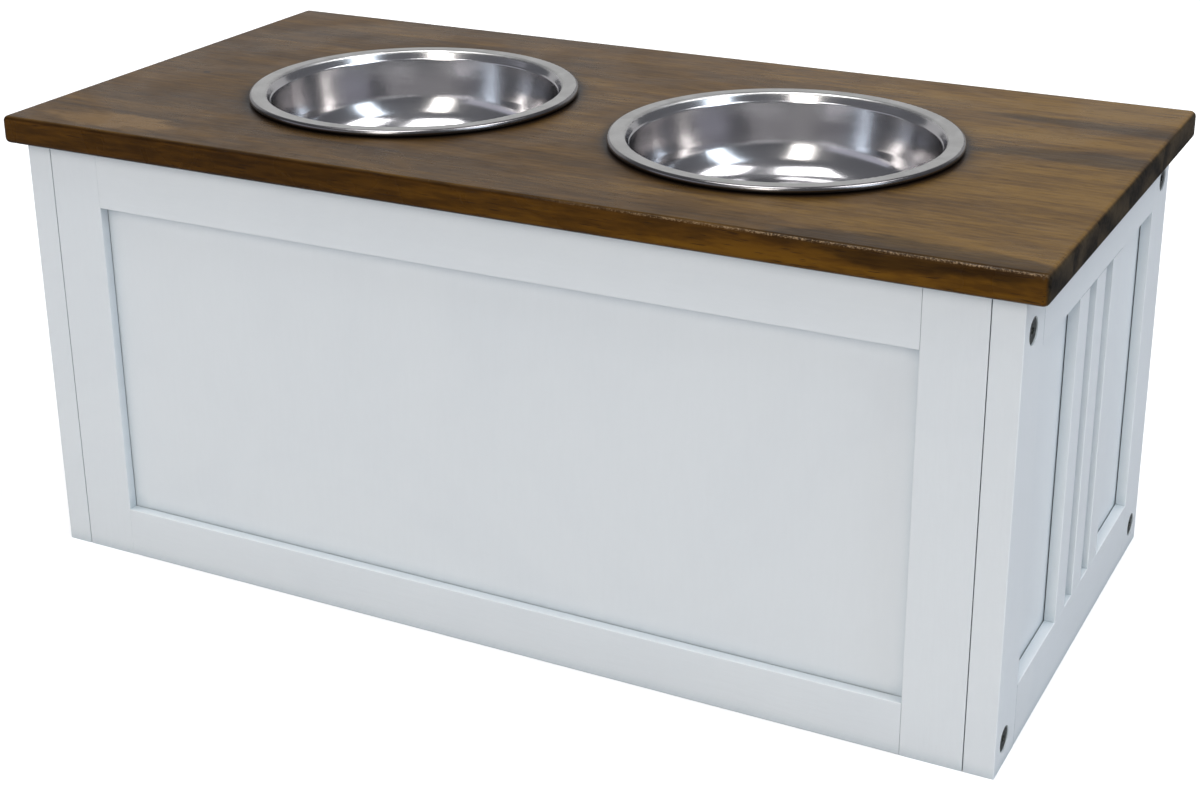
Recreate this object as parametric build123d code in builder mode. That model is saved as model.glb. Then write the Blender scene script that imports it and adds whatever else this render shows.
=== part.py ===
from build123d import *
import os

# Elevated dog feeder: a frame-and-panel storage box with a hinged wooden lid that holds two bowls.
# All lengths are millimetres. +X runs along the length, the front faces -Y and +Z is up.
# The origin is the middle of the footprint, on the floor.

# ---------------------------------------------------------------- driving dimensions

# Lid board
lid_length = 610.0
lid_depth = 305.0
lid_thickness = 16.0
lid_side_overhang = 11.5
lid_front_overhang = 7.0
lid_corner_radius = 3.5
lid_edge_round = 3.0
hole_edge_round = 1.0

# Box
box_height = 254.0
board_thickness = 16.0
post_width = 33.0
post_depth = 30.0
end_top_rail = 33.0
end_bottom_rail = 30.0
side_stile_width = 34.0
side_top_rail = 34.0
side_bottom_rail = 36.0
arris = 0.5
joint_gap = 0.4

# Panels let into grooves
panel_thickness = 5.0
panel_recess = 6.5
panel_slit = 0.6
groove_depth = 6.0
groove_play = 0.1
panel_end_play = 0.5

# Slats on the side panels
slat_width = 18.5
slat_gap = 15.0

# Storage floor and the cleats under it
floor_thickness = 6.0
floor_play = 1.0
cleat_size = 12.0
cleat_height = 4.0

# Bowls
bowl_mouth_radius = 87.5
bowl_rim_width = 9.5
bowl_gap = 42.0
bowl_setforward = 6.0
bowl_curl_radius = 1.9
bowl_curl_turn = 250.0
bowl_wall = 0.8
bowl_depth = 48.0
bowl_wall_lean = 9.5
bowl_floor_round = 25.0
shoulder_round = 2.8
shoulder_height = 4.6
shoulder_inset = 2.4
crease_height = 0.5
crease_inset = 0.6
crease_round = 1.2
hole_clearance = 2.5
rim_seat_gap = 0.3

# Connector bolts from the side stiles into barrel nuts in the posts
bolt_low = 15.0
bolt_from_top = 20.0
bolt_radius = 3.0
bolt_length = 38.0
bolt_head_radius = 6.75
bolt_head_height = 2.4
bolt_head_round = 0.6
bolt_head_sink = 0.5
bolt_socket_radius = 2.3
bolt_socket_depth = 2.0
bolt_hole_clearance = 0.3
nut_radius = 5.0
nut_length = 14.0
nut_inset = 19.0
nut_slot_width = 1.2
nut_slot_depth = 1.5
running_clearance = 0.05
blind_end_room = 0.5

# Locating dowels between the side stiles and the posts
dowel_low = 95.0
dowel_spacing = 65.0
dowel_radius = 4.0
dowel_in_stile = 9.0
dowel_in_post = 19.0
dowel_chamfer = 0.8

# Butt hinges at the back
hinge_inset = 54.5
hinge_length = 38.0
knuckle_count = 5
knuckle_radius = 2.2
knuckle_gap = 0.3
leaf_thickness = 1.2
leaf_width = 13.5
leaf_relief = 0.3
pin_radius = 1.1
pin_head_radius = 1.8
pin_head_height = 0.8
pin_behind_box = 1.0
mortise_play = 0.5

# Countersunk screws
screw_radius = 1.4
screw_head_radius = 2.7
screw_head_height = 1.1
screw_slot_width = 0.6
screw_slot_depth = 0.7
hinge_screw_length = 12.0
hinge_screw_spacing = 22.0
hinge_screw_from_pin = 8.5
cleat_screw_length = 22.0
cleat_screw_inset = 60.0

# ---------------------------------------------------------------- derived sizes

half_length = lid_length / 2 - lid_side_overhang
half_depth = lid_depth / 2 - lid_front_overhang
lid_top = box_height + lid_thickness

# Faces inside the box and upright frame openings, measured from the middle planes
side_back = half_length - board_thickness
post_face = side_back - joint_gap
end_opening = post_face - post_width
side_opening = half_depth - side_stile_width
post_back = half_depth - post_depth
rail_back = half_depth - board_thickness

# Depths below a wall's outer face
post_inward = board_thickness + joint_gap
groove_start = panel_recess - panel_slit
panel_back = panel_recess + panel_thickness
panel_span = (panel_recess, panel_back)
groove_span = (groove_start, panel_back + groove_play)
tongue_span = (groove_start + groove_play, panel_back)
tongue = groove_depth - panel_end_play

bowl_rim_radius = bowl_mouth_radius + bowl_rim_width
bowl_spacing = 2 * bowl_rim_radius + bowl_gap
bowl_floor_radius = bowl_mouth_radius - bowl_wall_lean
bowl_hole_radius = bowl_mouth_radius + hole_clearance
rim_top = lid_top + rim_seat_gap + 2 * bowl_curl_radius
bowl_floor = rim_top - bowl_depth

bolt_heights = (bolt_low, box_height - bolt_from_top)
dowel_heights = (dowel_low, dowel_low + dowel_spacing)
bolt_offset = half_depth - post_depth / 2
bolt_seat = bolt_head_sink + bolt_head_height
bolt_in_post = bolt_seat + bolt_length - post_inward

hinge_offset = end_opening - hinge_inset
pin_y = half_depth + pin_behind_box
pin_z = box_height - leaf_relief - knuckle_radius
knuckle_pitch = (hinge_length + knuckle_gap) / knuckle_count
knuckle_length = knuckle_pitch - knuckle_gap

cleat_top = cleat_height + cleat_size
cleat_middle = cleat_height + cleat_size / 2

end_panel = (end_bottom_rail, box_height - end_top_rail)
side_panel = (side_bottom_rail, box_height - side_top_rail)
slat_pitch = slat_width + slat_gap

# Each wall is laid out on its own outer face: local x runs along the wall, local y is up
# and local z points out of the box.
front = Plane(origin=(0, -half_depth, 0), x_dir=(1, 0, 0), z_dir=(0, -1, 0))
back = Plane(origin=(0, half_depth, 0), x_dir=(-1, 0, 0), z_dir=(0, 1, 0))
left = Plane(origin=(-half_length, 0, 0), x_dir=(0, -1, 0), z_dir=(-1, 0, 0))
right = Plane(origin=(half_length, 0, 0), x_dir=(0, 1, 0), z_dir=(1, 0, 0))
end_walls = {"front": front, "back": back}
side_walls = {"left": left, "right": right}

# Solids that hang down from, or stand on, the place where they are put
hanging = (Align.CENTER, Align.CENTER, Align.MAX)
standing = (Align.CENTER, Align.CENTER, Align.MIN)

# Turns a place on a wall round to face into the box
facing_in = Location((0, 0, 0), (0, 180, 0))


# ---------------------------------------------------------------- helpers


def turn(wall):
    """+1 where a wall's local x runs along the world axis, and -1 where it runs against it."""
    return wall.x_dir.X + wall.x_dir.Y


def sign(wall):
    """The side of the box that a wall stands on."""
    return wall.z_dir.X + wall.z_dir.Y


def spot(wall, across, up, inward=0.0):
    """A place on a wall that faces out of the box: across is the world x or y along the wall."""
    return wall.location * Location((turn(wall) * across, up, -inward))


def slab(wall, across, up, inward, mode=Mode.ADD):
    """Add or cut a square block, from its spans along the wall, up it and in from its face."""
    with BuildSketch(wall.offset(-max(inward))) as outline:
        with Locations((turn(wall) * sum(across) / 2, sum(up) / 2)):
            Rectangle(abs(across[1] - across[0]), abs(up[1] - up[0]))
    extrude(outline.sketch, amount=abs(inward[1] - inward[0]), mode=mode)


def soften(piece, wall, grain):
    """Round the long arrises, those along the grain, of the face that shows on a wall."""
    shown = piece.faces().sort_by(Axis(wall.origin, wall.z_dir))[-1]
    fillet(shown.edges().filter_by(Axis(wall.origin, grain)), radius=arris)


def screw_seats(places, length):
    """Cut a countersunk hole for a screw at each place."""
    with Locations(*places):
        Cylinder(
            screw_radius + running_clearance,
            length + blind_end_room,
            align=hanging,
            mode=Mode.SUBTRACT,
        )
        Cone(
            screw_radius + running_clearance,
            screw_head_radius + running_clearance,
            screw_head_height,
            align=hanging,
            mode=Mode.SUBTRACT,
        )


def screws(places, length):
    """Countersunk screws with cross-slotted heads, one at each place."""
    with BuildPart() as group:
        with Locations(*places):
            Cylinder(screw_radius, length, align=hanging)
            Cone(screw_radius, screw_head_radius, screw_head_height, align=hanging)
            for angle in (0, 90):
                Box(
                    2 * screw_radius,
                    screw_slot_width,
                    screw_slot_depth,
                    rotation=(0, 0, angle),
                    align=hanging,
                    mode=Mode.SUBTRACT,
                )
    return group


def save(piece, name):
    """Label a finished sub-part and write its STEP file."""
    piece.part.label = name
    export_step(piece.part, f"parts/{name}.step")


# ---------------------------------------------------------------- places for fasteners


def bolt_places(side, end, inward=0.0):
    """Where the bolts of one corner pass a given depth of a side wall."""
    return [spot(side, sign(end) * bolt_offset, height, inward) for height in bolt_heights]


def dowel_places(side, end, inward):
    """Where the dowels of one corner pass a given depth of a side wall."""
    return [spot(side, sign(end) * bolt_offset, height, inward) for height in dowel_heights]


def nut_places(side, end, inward):
    """Where the barrel nuts of one corner pass a given depth of the post, facing into the box."""
    across = sign(side) * (post_face - nut_inset)
    return [spot(end, across, height, inward) * facing_in for height in bolt_heights]


def cleat_screw_places(wall, half_span):
    """Where the screws of a floor cleat go in, from inside the box."""
    inset = half_span - cleat_screw_inset
    inward = board_thickness + cleat_size
    return [spot(wall, across, cleat_middle, inward) * facing_in for across in (-inset, inset)]


def lid_leaf_screw_places(middle):
    """Where the screws of a lid leaf go up into the lid."""
    return [
        Plane(
            origin=(middle + step, pin_y - hinge_screw_from_pin, box_height - leaf_thickness),
            z_dir=(0, 0, -1),
        ).location
        for step in (-hinge_screw_spacing / 2, hinge_screw_spacing / 2)
    ]


def back_leaf_screw_places(middle):
    """Where the screws of a back leaf go into the top rail."""
    return [
        spot(back, middle + step, pin_z - hinge_screw_from_pin)
        for step in (-hinge_screw_spacing / 2, hinge_screw_spacing / 2)
    ]


hinge_middles = {"left": -hinge_offset, "right": hinge_offset}
lid_screw_places = [
    place for middle in hinge_middles.values() for place in lid_leaf_screw_places(middle)
]
back_screw_places = [
    place for middle in hinge_middles.values() for place in back_leaf_screw_places(middle)
]


# ---------------------------------------------------------------- frame members


def corner_post(end, side):
    """A post that is the stile of a front or back frame, drilled for the side's bolts and dowels."""
    inner = sign(side) * end_opening
    groove_end = inner + sign(side) * groove_depth
    with BuildPart() as post:
        slab(end, (inner, sign(side) * post_face), (0, box_height), (0, post_depth))
        slab(end, (inner, groove_end), (0, box_height), groove_span, mode=Mode.SUBTRACT)
        soften(post, end, end.y_dir)
        with Locations(*bolt_places(side, end, post_inward)):
            Hole(bolt_radius + bolt_hole_clearance, depth=bolt_in_post + blind_end_room)
        with Locations(*dowel_places(side, end, post_inward)):
            Hole(dowel_radius + running_clearance, depth=dowel_in_post + blind_end_room)
        with Locations(*nut_places(side, end, post_depth)):
            nut_hole_depth = (post_depth + nut_length) / 2 + blind_end_room
            Hole(nut_radius + running_clearance, depth=nut_hole_depth)
    return post


def side_stile(side, end):
    """An upright of a side frame, with counterbored bolt holes and blind dowel holes."""
    inner = sign(end) * side_opening
    outer = sign(end) * half_depth
    groove_end = inner + sign(end) * groove_depth
    joint_corner = (sign(side) * side_back, outer, box_height / 2)
    with BuildPart() as upright:
        slab(side, (inner, outer), (0, box_height), (0, board_thickness))
        slab(side, (inner, groove_end), (0, box_height), groove_span, mode=Mode.SUBTRACT)
        soften(upright, side, side.y_dir)
        fillet(upright.edges().sort_by_distance(joint_corner)[0], radius=arris)
        with Locations(*bolt_places(side, end)):
            CounterBoreHole(
                bolt_radius + bolt_hole_clearance,
                bolt_head_radius + bolt_hole_clearance,
                bolt_seat,
                depth=board_thickness,
            )
        with Locations(*dowel_places(side, end, board_thickness)):
            Hole(dowel_radius + running_clearance, depth=dowel_in_stile + blind_end_room)
    return upright


def rail(wall, opening, up, groove, cleat_screws=()):
    """A cross rail with a stub tongue at each end and a groove along the edge beside the panel."""
    with BuildPart() as cross:
        slab(wall, (-opening, opening), up, (0, board_thickness))
        soften(cross, wall, wall.x_dir)
        slab(wall, (-opening - tongue, opening + tongue), up, tongue_span)
        slab(
            wall,
            (-opening - groove_depth, opening + groove_depth),
            groove,
            groove_span,
            mode=Mode.SUBTRACT,
        )
        if cleat_screws:
            screw_seats(cleat_screws, cleat_screw_length)
    return cross


def hinged_rail(blank):
    """The back's top rail, let in for the hinge leaves and knuckles."""
    leaf_half = hinge_length / 2 + mortise_play
    barrel_half = leaf_half + pin_head_height
    knuckle_reach = knuckle_radius - pin_behind_box + mortise_play
    with BuildPart() as cross:
        add(blank.part)
        for middle in hinge_middles.values():
            slab(
                back,
                (middle - leaf_half, middle + leaf_half),
                (box_height - leaf_thickness - leaf_relief, box_height),
                (0, leaf_width - pin_behind_box + mortise_play),
                mode=Mode.SUBTRACT,
            )
            slab(
                back,
                (middle - leaf_half, middle + leaf_half),
                (pin_z - leaf_width - mortise_play, box_height),
                (0, leaf_thickness),
                mode=Mode.SUBTRACT,
            )
            slab(
                back,
                (middle - barrel_half, middle + barrel_half),
                (pin_z - knuckle_radius - mortise_play, box_height),
                (0, knuckle_reach),
                mode=Mode.SUBTRACT,
            )
        screw_seats(back_screw_places, hinge_screw_length)
    return cross


def panel(wall, opening, up):
    """The thin panel that fills a frame and reaches into its grooves."""
    with BuildPart() as board:
        slab(
            wall,
            (-opening - tongue, opening + tongue),
            (up[0] - tongue, up[1] + tongue),
            panel_span,
        )
    return board


def slat(side, across, up):
    """An upright slat in front of a side panel, glued between the rails and flush with them."""
    with BuildPart() as strip:
        slab(side, (across - slat_width / 2, across + slat_width / 2), up, (0, groove_start))
        soften(strip, side, side.y_dir)
    return strip


def floor_cleat(wall, half_span):
    """A batten inside a bottom rail that carries the storage floor."""
    reach = half_span - floor_play
    with BuildPart() as batten:
        slab(
            wall,
            (-reach, reach),
            (cleat_height, cleat_top),
            (board_thickness, board_thickness + cleat_size),
        )
        screw_seats(cleat_screw_places(wall, half_span), cleat_screw_length)
    return batten


def floor_panel():
    """The storage floor, notched round the corner posts."""
    with BuildPart() as board:
        with BuildSketch(Plane.XY.offset(cleat_top)):
            Rectangle(2 * (side_back - floor_play), 2 * (rail_back - floor_play))
            with GridLocations(2 * side_back, 2 * half_depth, 2, 2):
                Rectangle(
                    2 * (side_back - end_opening + floor_play),
                    2 * (post_depth + floor_play),
                    mode=Mode.SUBTRACT,
                )
        extrude(amount=floor_thickness)
    return board


# ---------------------------------------------------------------- lid and bowls


def lid_board():
    """The lid: one board with two round holes, rounded corners and rounded edges."""
    with BuildPart() as board:
        with BuildSketch(Plane.XY.offset(box_height)):
            RectangleRounded(lid_length, lid_depth, lid_corner_radius)
            with Locations((0, -bowl_setforward)):
                with GridLocations(bowl_spacing, 1, 2, 1):
                    Circle(bowl_hole_radius, mode=Mode.SUBTRACT)
        extrude(amount=lid_thickness)
        under = board.faces().sort_by(Axis.Z)[0]
        upper = board.faces().sort_by(Axis.Z)[-1]
        fillet(under.outer_wire().edges() + upper.outer_wire().edges(), radius=lid_edge_round)
        hole_rims = board.faces().sort_by(Axis.Z)[-1].inner_wires()
        fillet([edge for rim in hole_rims for edge in rim.edges()], radius=hole_edge_round)
        screw_seats(lid_screw_places, hinge_screw_length)
    return board


def bowl(middle):
    """A bowl of thin sheet: rolled rim, shoulder, crease, steep wall and a floor with a wide round."""
    centre = (middle, -bowl_setforward, 0)
    curl_middle = (bowl_rim_radius - bowl_curl_radius, rim_top - bowl_curl_radius)
    shoulder = (bowl_mouth_radius - shoulder_inset, rim_top - shoulder_height)
    crease = (shoulder[0] - crease_inset, shoulder[1] - crease_height)
    with BuildPart() as dish:
        with BuildSketch(Plane(origin=centre, x_dir=(1, 0, 0), z_dir=(0, -1, 0))):
            with BuildLine() as sheet:
                FilletPolyline(
                    (0, bowl_floor),
                    (bowl_floor_radius, bowl_floor),
                    crease,
                    shoulder,
                    (bowl_mouth_radius, rim_top),
                    (curl_middle[0], rim_top),
                    radius=[bowl_floor_round, crease_round, crease_round, shoulder_round],
                )
                CenterArc(curl_middle, bowl_curl_radius, 90, -bowl_curl_turn)
                offset(
                    sheet.wires()[0],
                    amount=bowl_wall,
                    side=Side.RIGHT,
                    closed=True,
                    mode=Mode.REPLACE,
                )
            make_face()
        revolve(axis=Axis(centre, (0, 0, 1)))
    return dish


# ---------------------------------------------------------------- hinges


def hinge_leaf(middle, knuckles, others, up, inward, screw_places):
    """One leaf of a hinge: a plate with its own knuckles, cut back round the other leaf's."""
    start = middle - hinge_length / 2
    reach = knuckle_radius + knuckle_gap
    with BuildPart() as leaf:
        slab(back, (start, start + hinge_length), up, inward)
        for number in others:
            with Locations((start + number * knuckle_pitch - knuckle_gap, pin_y, pin_z)):
                Box(
                    knuckle_length + 2 * knuckle_gap,
                    2 * reach,
                    2 * reach,
                    align=(Align.MIN, Align.CENTER, Align.CENTER),
                    mode=Mode.SUBTRACT,
                )
        for number in knuckles:
            with Locations(Plane((start + number * knuckle_pitch, pin_y, pin_z), z_dir=(1, 0, 0))):
                Cylinder(knuckle_radius, knuckle_length, align=standing)
        with Locations(Plane((start, pin_y, pin_z), z_dir=(1, 0, 0))):
            Cylinder(
                pin_radius + running_clearance,
                hinge_length,
                align=standing,
                mode=Mode.SUBTRACT,
            )
        screw_seats(screw_places, hinge_screw_length)
    return leaf


def hinge_pin(middle):
    """A hinge pin with a flat head at each end."""
    with BuildPart() as pin:
        for end in (-1, 1):
            tip = (middle + end * hinge_length / 2, pin_y, pin_z)
            with Locations(Plane(tip, z_dir=(end, 0, 0))):
                Cylinder(pin_radius, hinge_length / 2, align=hanging)
                Cylinder(pin_head_radius, pin_head_height, align=standing)
    return pin


# ---------------------------------------------------------------- bolts, nuts and dowels


def side_bolts(side):
    """The connector bolts of one side, with flat heads and hexagonal sockets."""
    places = [
        place for end in end_walls.values() for place in bolt_places(side, end, bolt_head_sink)
    ]
    with BuildPart() as group:
        with Locations(*places):
            Cylinder(bolt_head_radius, bolt_head_height, align=hanging)
            Cylinder(bolt_radius, bolt_head_height + bolt_length, align=hanging)
        rims = group.edges().group_by(Axis(side.origin, side.z_dir))[-1]
        fillet(rims, radius=bolt_head_round)
        with BuildSketch(*[Plane(place) for place in places]):
            RegularPolygon(bolt_socket_radius, side_count=6)
        extrude(amount=-bolt_socket_depth, mode=Mode.SUBTRACT)
    return group


def barrel_nuts(side):
    """The cross-bored barrel nuts of one side, slotted on the end that faces into the box."""
    ends = [
        place
        for end in end_walls.values()
        for place in nut_places(side, end, (post_depth + nut_length) / 2)
    ]
    bolts = [place for end in end_walls.values() for place in bolt_places(side, end)]
    with BuildPart() as group:
        with Locations(*ends):
            Cylinder(nut_radius, nut_length, align=hanging)
            Box(2 * nut_radius, nut_slot_width, nut_slot_depth, align=hanging, mode=Mode.SUBTRACT)
        with Locations(*bolts):
            Cylinder(
                bolt_radius + running_clearance,
                bolt_seat + bolt_length,
                align=hanging,
                mode=Mode.SUBTRACT,
            )
    return group


def locating_dowels():
    """The glued dowels that locate the side stiles on the posts."""
    places = [
        place
        for side in side_walls.values()
        for end in end_walls.values()
        for place in dowel_places(side, end, board_thickness - dowel_in_stile)
    ]
    with BuildPart() as group:
        with Locations(*places):
            Cylinder(dowel_radius, dowel_in_stile + joint_gap + dowel_in_post, align=hanging)
        chamfer(group.edges().filter_by(GeomType.CIRCLE), length=dowel_chamfer)
    return group


# ---------------------------------------------------------------- the sub-parts

os.makedirs("parts", exist_ok=True)

# Front and back frames
for name, end in end_walls.items():
    bottom_groove = (end_panel[0] - groove_depth, end_panel[0])
    top_groove = (end_panel[1], end_panel[1] + groove_depth)
    screw_places = cleat_screw_places(end, end_opening)
    save(rail(end, end_opening, (0, end_panel[0]), bottom_groove, screw_places), f"{name}_bottom_rail")
    save(panel(end, end_opening, end_panel), f"{name}_panel")
    save(floor_cleat(end, end_opening), f"floor_cleat_{name}")

front_top_rail = rail(front, end_opening, (end_panel[1], box_height), top_groove)
back_top_rail = rail(back, end_opening, (end_panel[1], box_height), top_groove)
save(front_top_rail, "front_top_rail")
save(hinged_rail(back_top_rail), "back_top_rail")

# Side frames
for name, side in side_walls.items():
    bottom_groove = (side_panel[0] - groove_depth, side_panel[0])
    top_groove = (side_panel[1], side_panel[1] + groove_depth)
    screw_places = cleat_screw_places(side, post_back)
    save(rail(side, side_opening, (0, side_panel[0]), bottom_groove, screw_places), f"{name}_bottom_rail")
    save(rail(side, side_opening, (side_panel[1], box_height), top_groove), f"{name}_top_rail")
    save(panel(side, side_opening, side_panel), f"{name}_panel")
    save(floor_cleat(side, post_back), f"floor_cleat_{name}")
    save(slat(side, -slat_pitch, side_panel), f"{name}_slat_front")
    save(slat(side, 0, side_panel), f"{name}_slat_middle")
    save(slat(side, slat_pitch, side_panel), f"{name}_slat_rear")
    save(side_stile(side, front), f"{name}_front_stile")
    save(side_stile(side, back), f"{name}_rear_stile")
    save(corner_post(front, side), f"front_{name}_stile")
    save(corner_post(back, side), f"back_{name}_stile")
    save(side_bolts(side), f"side_bolts_{name}")
    save(barrel_nuts(side), f"barrel_nuts_{name}")

# Storage floor
all_cleat_screws = []
for end in end_walls.values():
    all_cleat_screws += cleat_screw_places(end, end_opening)
for side in side_walls.values():
    all_cleat_screws += cleat_screw_places(side, post_back)
save(floor_panel(), "floor_panel")
save(screws(all_cleat_screws, cleat_screw_length), "cleat_screws")
save(locating_dowels(), "locating_dowels")

# Lid and bowls
save(lid_board(), "lid_board")
save(bowl(-bowl_spacing / 2), "bowl_left")
save(bowl(bowl_spacing / 2), "bowl_right")

# Hinges
lid_knuckles = (1, 3)
back_knuckles = (0, 2, 4)
lid_leaf_up = (box_height - leaf_thickness, box_height)
lid_leaf_inward = (-pin_behind_box, leaf_width - pin_behind_box)
back_leaf_up = (pin_z - leaf_width, pin_z)
back_leaf_inward = (0, leaf_thickness)
for name, middle in hinge_middles.items():
    lid_screws = lid_leaf_screw_places(middle)
    back_screws = back_leaf_screw_places(middle)
    lid_leaf = hinge_leaf(
        middle, lid_knuckles, back_knuckles, lid_leaf_up, lid_leaf_inward, lid_screws
    )
    back_leaf = hinge_leaf(
        middle, back_knuckles, lid_knuckles, back_leaf_up, back_leaf_inward, back_screws
    )
    save(lid_leaf, f"hinge_leaf_lid_{name}")
    save(back_leaf, f"hinge_leaf_back_{name}")
    save(hinge_pin(middle), f"hinge_pin_{name}")
save(screws(lid_screw_places, hinge_screw_length), "hinge_screws_lid")
save(screws(back_screw_places, hinge_screw_length), "hinge_screws_back")
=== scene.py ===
# %% [markdown]
# # Elevated dog feeder with storage
#
# The feeder is a white frame-and-panel box. A stained wooden lid is hinged to its back, and two
# steel bowls hang in the lid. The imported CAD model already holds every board, bolt and bowl at its
# real size and place, so the shapes stay as they are and each one gets a finish here.
# A finish could also be a picture wrapped round a board, but a procedural one has no seams, runs
# through the wood from the top to the end grain, and is sharp from any distance.

import math

import bpy
from mathutils import Euler, Matrix, Vector


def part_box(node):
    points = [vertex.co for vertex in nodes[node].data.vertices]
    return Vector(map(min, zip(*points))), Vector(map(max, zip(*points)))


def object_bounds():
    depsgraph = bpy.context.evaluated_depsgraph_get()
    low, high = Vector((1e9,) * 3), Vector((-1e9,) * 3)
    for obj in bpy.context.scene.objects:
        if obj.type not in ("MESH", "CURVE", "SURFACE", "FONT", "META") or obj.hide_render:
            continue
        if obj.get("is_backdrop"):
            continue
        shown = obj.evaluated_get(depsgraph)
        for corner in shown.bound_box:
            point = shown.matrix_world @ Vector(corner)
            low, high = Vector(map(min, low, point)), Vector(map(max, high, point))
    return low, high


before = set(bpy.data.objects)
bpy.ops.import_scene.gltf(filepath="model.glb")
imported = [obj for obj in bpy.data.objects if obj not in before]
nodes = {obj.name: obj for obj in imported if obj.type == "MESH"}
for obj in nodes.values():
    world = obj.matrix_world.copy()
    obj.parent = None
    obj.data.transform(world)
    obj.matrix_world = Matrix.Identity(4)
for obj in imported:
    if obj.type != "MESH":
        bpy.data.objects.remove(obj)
cad_low, cad_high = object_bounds()
print("nodes:", len(nodes), "size in mm:", [round(1000 * side, 1) for side in cad_high - cad_low])

# %% [markdown]
# ## Helpers for node graphs
#
# A finish in Blender is a graph: textures make numbers, numbers choose colours, and colours feed
# a shader. It could be wired by hand in the editor. Written as calls it can be read from top to
# bottom and built again at any time, so a few helpers keep every call short.


# %% Add, link and set nodes
def plug(tree, node, sockets):
    """Link the inputs that are given a socket and set the inputs that are given a plain value."""
    for name, value in sockets.items():
        if isinstance(value, bpy.types.NodeSocket):
            tree.links.new(value, node.inputs[name])
        else:
            node.inputs[name].default_value = value


def add_node(tree, kind, sockets=None, **options):
    """Add a node, choose its options, then link or set its inputs."""
    node = tree.nodes.new(kind)
    for option, value in options.items():
        setattr(node, option, value)
    plug(tree, node, sockets or {})
    return node


def maths(tree, operation, *values):
    """One Math node, on numbers or sockets."""
    return add_node(tree, "ShaderNodeMath", dict(enumerate(values)), operation=operation).outputs[0]


def vectors(tree, operation, *values):
    """One Vector Math node. A dot product or a length is a number, anything else is a vector."""
    node = add_node(tree, "ShaderNodeVectorMath", dict(enumerate(values)), operation=operation)
    return node.outputs["Value" if operation in ("DOT_PRODUCT", "LENGTH") else "Vector"]


def parts_of(tree, vector):
    """The X, Y and Z of a vector, each as a number."""
    return add_node(tree, "ShaderNodeSeparateXYZ", {0: vector}).outputs


def between(tree, value, low, high, to_low=0.0, to_high=1.0):
    """Move a value smoothly from one range to another, held at both ends."""
    ranges = {"Value": value, "From Min": low, "From Max": high, "To Min": to_low, "To Max": to_high}
    return add_node(tree, "ShaderNodeMapRange", ranges, interpolation_type="SMOOTHSTEP").outputs[0]


def weighted(tree, parts, shares):
    """Add up some outputs of an effect, each times its share."""
    total = 0.0
    for part, share in shares.items():
        total = maths(tree, "MULTIPLY_ADD", parts[part], share, total)
    return total


number_helpers = (maths, vectors, parts_of, between, weighted)
print("helpers for numbers:", ", ".join(helper.__name__ for helper in number_helpers))


# %% Colours and noise
def opaque(colour):
    """Give a plain red, green and blue its alpha. A socket stays as it is."""
    return (*colour, 1.0) if isinstance(colour, tuple) else colour


def mix_colours(tree, share, first, second, way="MIX"):
    """Blend two colours. The numbered sockets are the colour ones of the Mix node."""
    node = add_node(tree, "ShaderNodeMix", data_type="RGBA", blend_type=way)
    plug(tree, node, {0: share, 6: opaque(first), 7: opaque(second)})
    return node.outputs[2]


def tinted(tree, share, colour, tint):
    """Multiply a colour by a tint, where the share says so."""
    return mix_colours(tree, share, colour, mix_colours(tree, 1.0, colour, tint, "MULTIPLY"))


def noise(tree, place, scale, detail=3.0, roughness=0.5, distortion=0.0):
    """Soft random values from 0 to 1. Different scales along x, y and z stretch the blotches."""
    settings = {
        "Vector": vectors(tree, "MULTIPLY", place, scale),
        "Scale": 1.0,
        "Detail": detail,
        "Roughness": roughness,
        "Distortion": distortion,
    }
    return add_node(tree, "ShaderNodeTexNoise", settings).outputs[0]


def colour_ramp(tree, share, stops):
    """Colours laid out from 0 to 1: each stop is a place and a colour."""
    node = add_node(tree, "ShaderNodeValToRGB", {"Fac": share})
    bands = node.color_ramp.elements
    while len(bands) < len(stops):
        bands.new(1.0)
    for band, (place, colour) in zip(bands, stops):
        band.position = place
        band.color = opaque(colour)
    return node.outputs["Color"]


def object_place(tree):
    """Where a point lies in the model, in metres. It stays with the board when the lid turns."""
    return add_node(tree, "ShaderNodeTexCoord").outputs["Object"]


colour_helpers = (mix_colours, tinted, noise, colour_ramp, object_place)
print("helpers for colours:", ", ".join(helper.__name__ for helper in colour_helpers))

# %% Groups and materials
VECTOR = "NodeSocketVector"
NUMBER = "NodeSocketFloat"


def effect_group(name, inputs, outputs):
    """A node group with named sockets: returns it, what it is given and what it puts out."""
    group = bpy.data.node_groups.new(name, "ShaderNodeTree")
    for label, kind, value in inputs:
        socket = group.interface.new_socket(label, in_out="INPUT", socket_type=kind)
        if value is not None:
            socket.default_value = value
    for label in outputs:
        group.interface.new_socket(label, in_out="OUTPUT", socket_type=NUMBER)
    given = group.nodes.new("NodeGroupInput").outputs
    made = group.nodes.new("NodeGroupOutput")
    print("effect", name, "puts out", ", ".join(outputs))
    return group, given, made


def use_effect(tree, group, sockets):
    """Place an effect in a material with its own values, and return its outputs."""
    return add_node(tree, "ShaderNodeGroup", sockets, node_tree=group).outputs


def new_material(name):
    """A material that holds one Principled BSDF: returns it, its graph and its shader."""
    material = bpy.data.materials.new(name)
    material.use_nodes = True
    tree = material.node_tree
    tree.nodes.clear()
    shader = tree.nodes.new("ShaderNodeBsdfPrincipled")
    surface = tree.nodes.new("ShaderNodeOutputMaterial").inputs["Surface"]
    tree.links.new(shader.outputs["BSDF"], surface)
    return material, tree, shader


def bump(tree, height, distance):
    """A normal that follows a height from 0 to 1, which is so many metres high."""
    sockets = {"Height": height, "Distance": distance, "Strength": 1.0}
    return add_node(tree, "ShaderNodeBump", sockets).outputs["Normal"]


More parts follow.
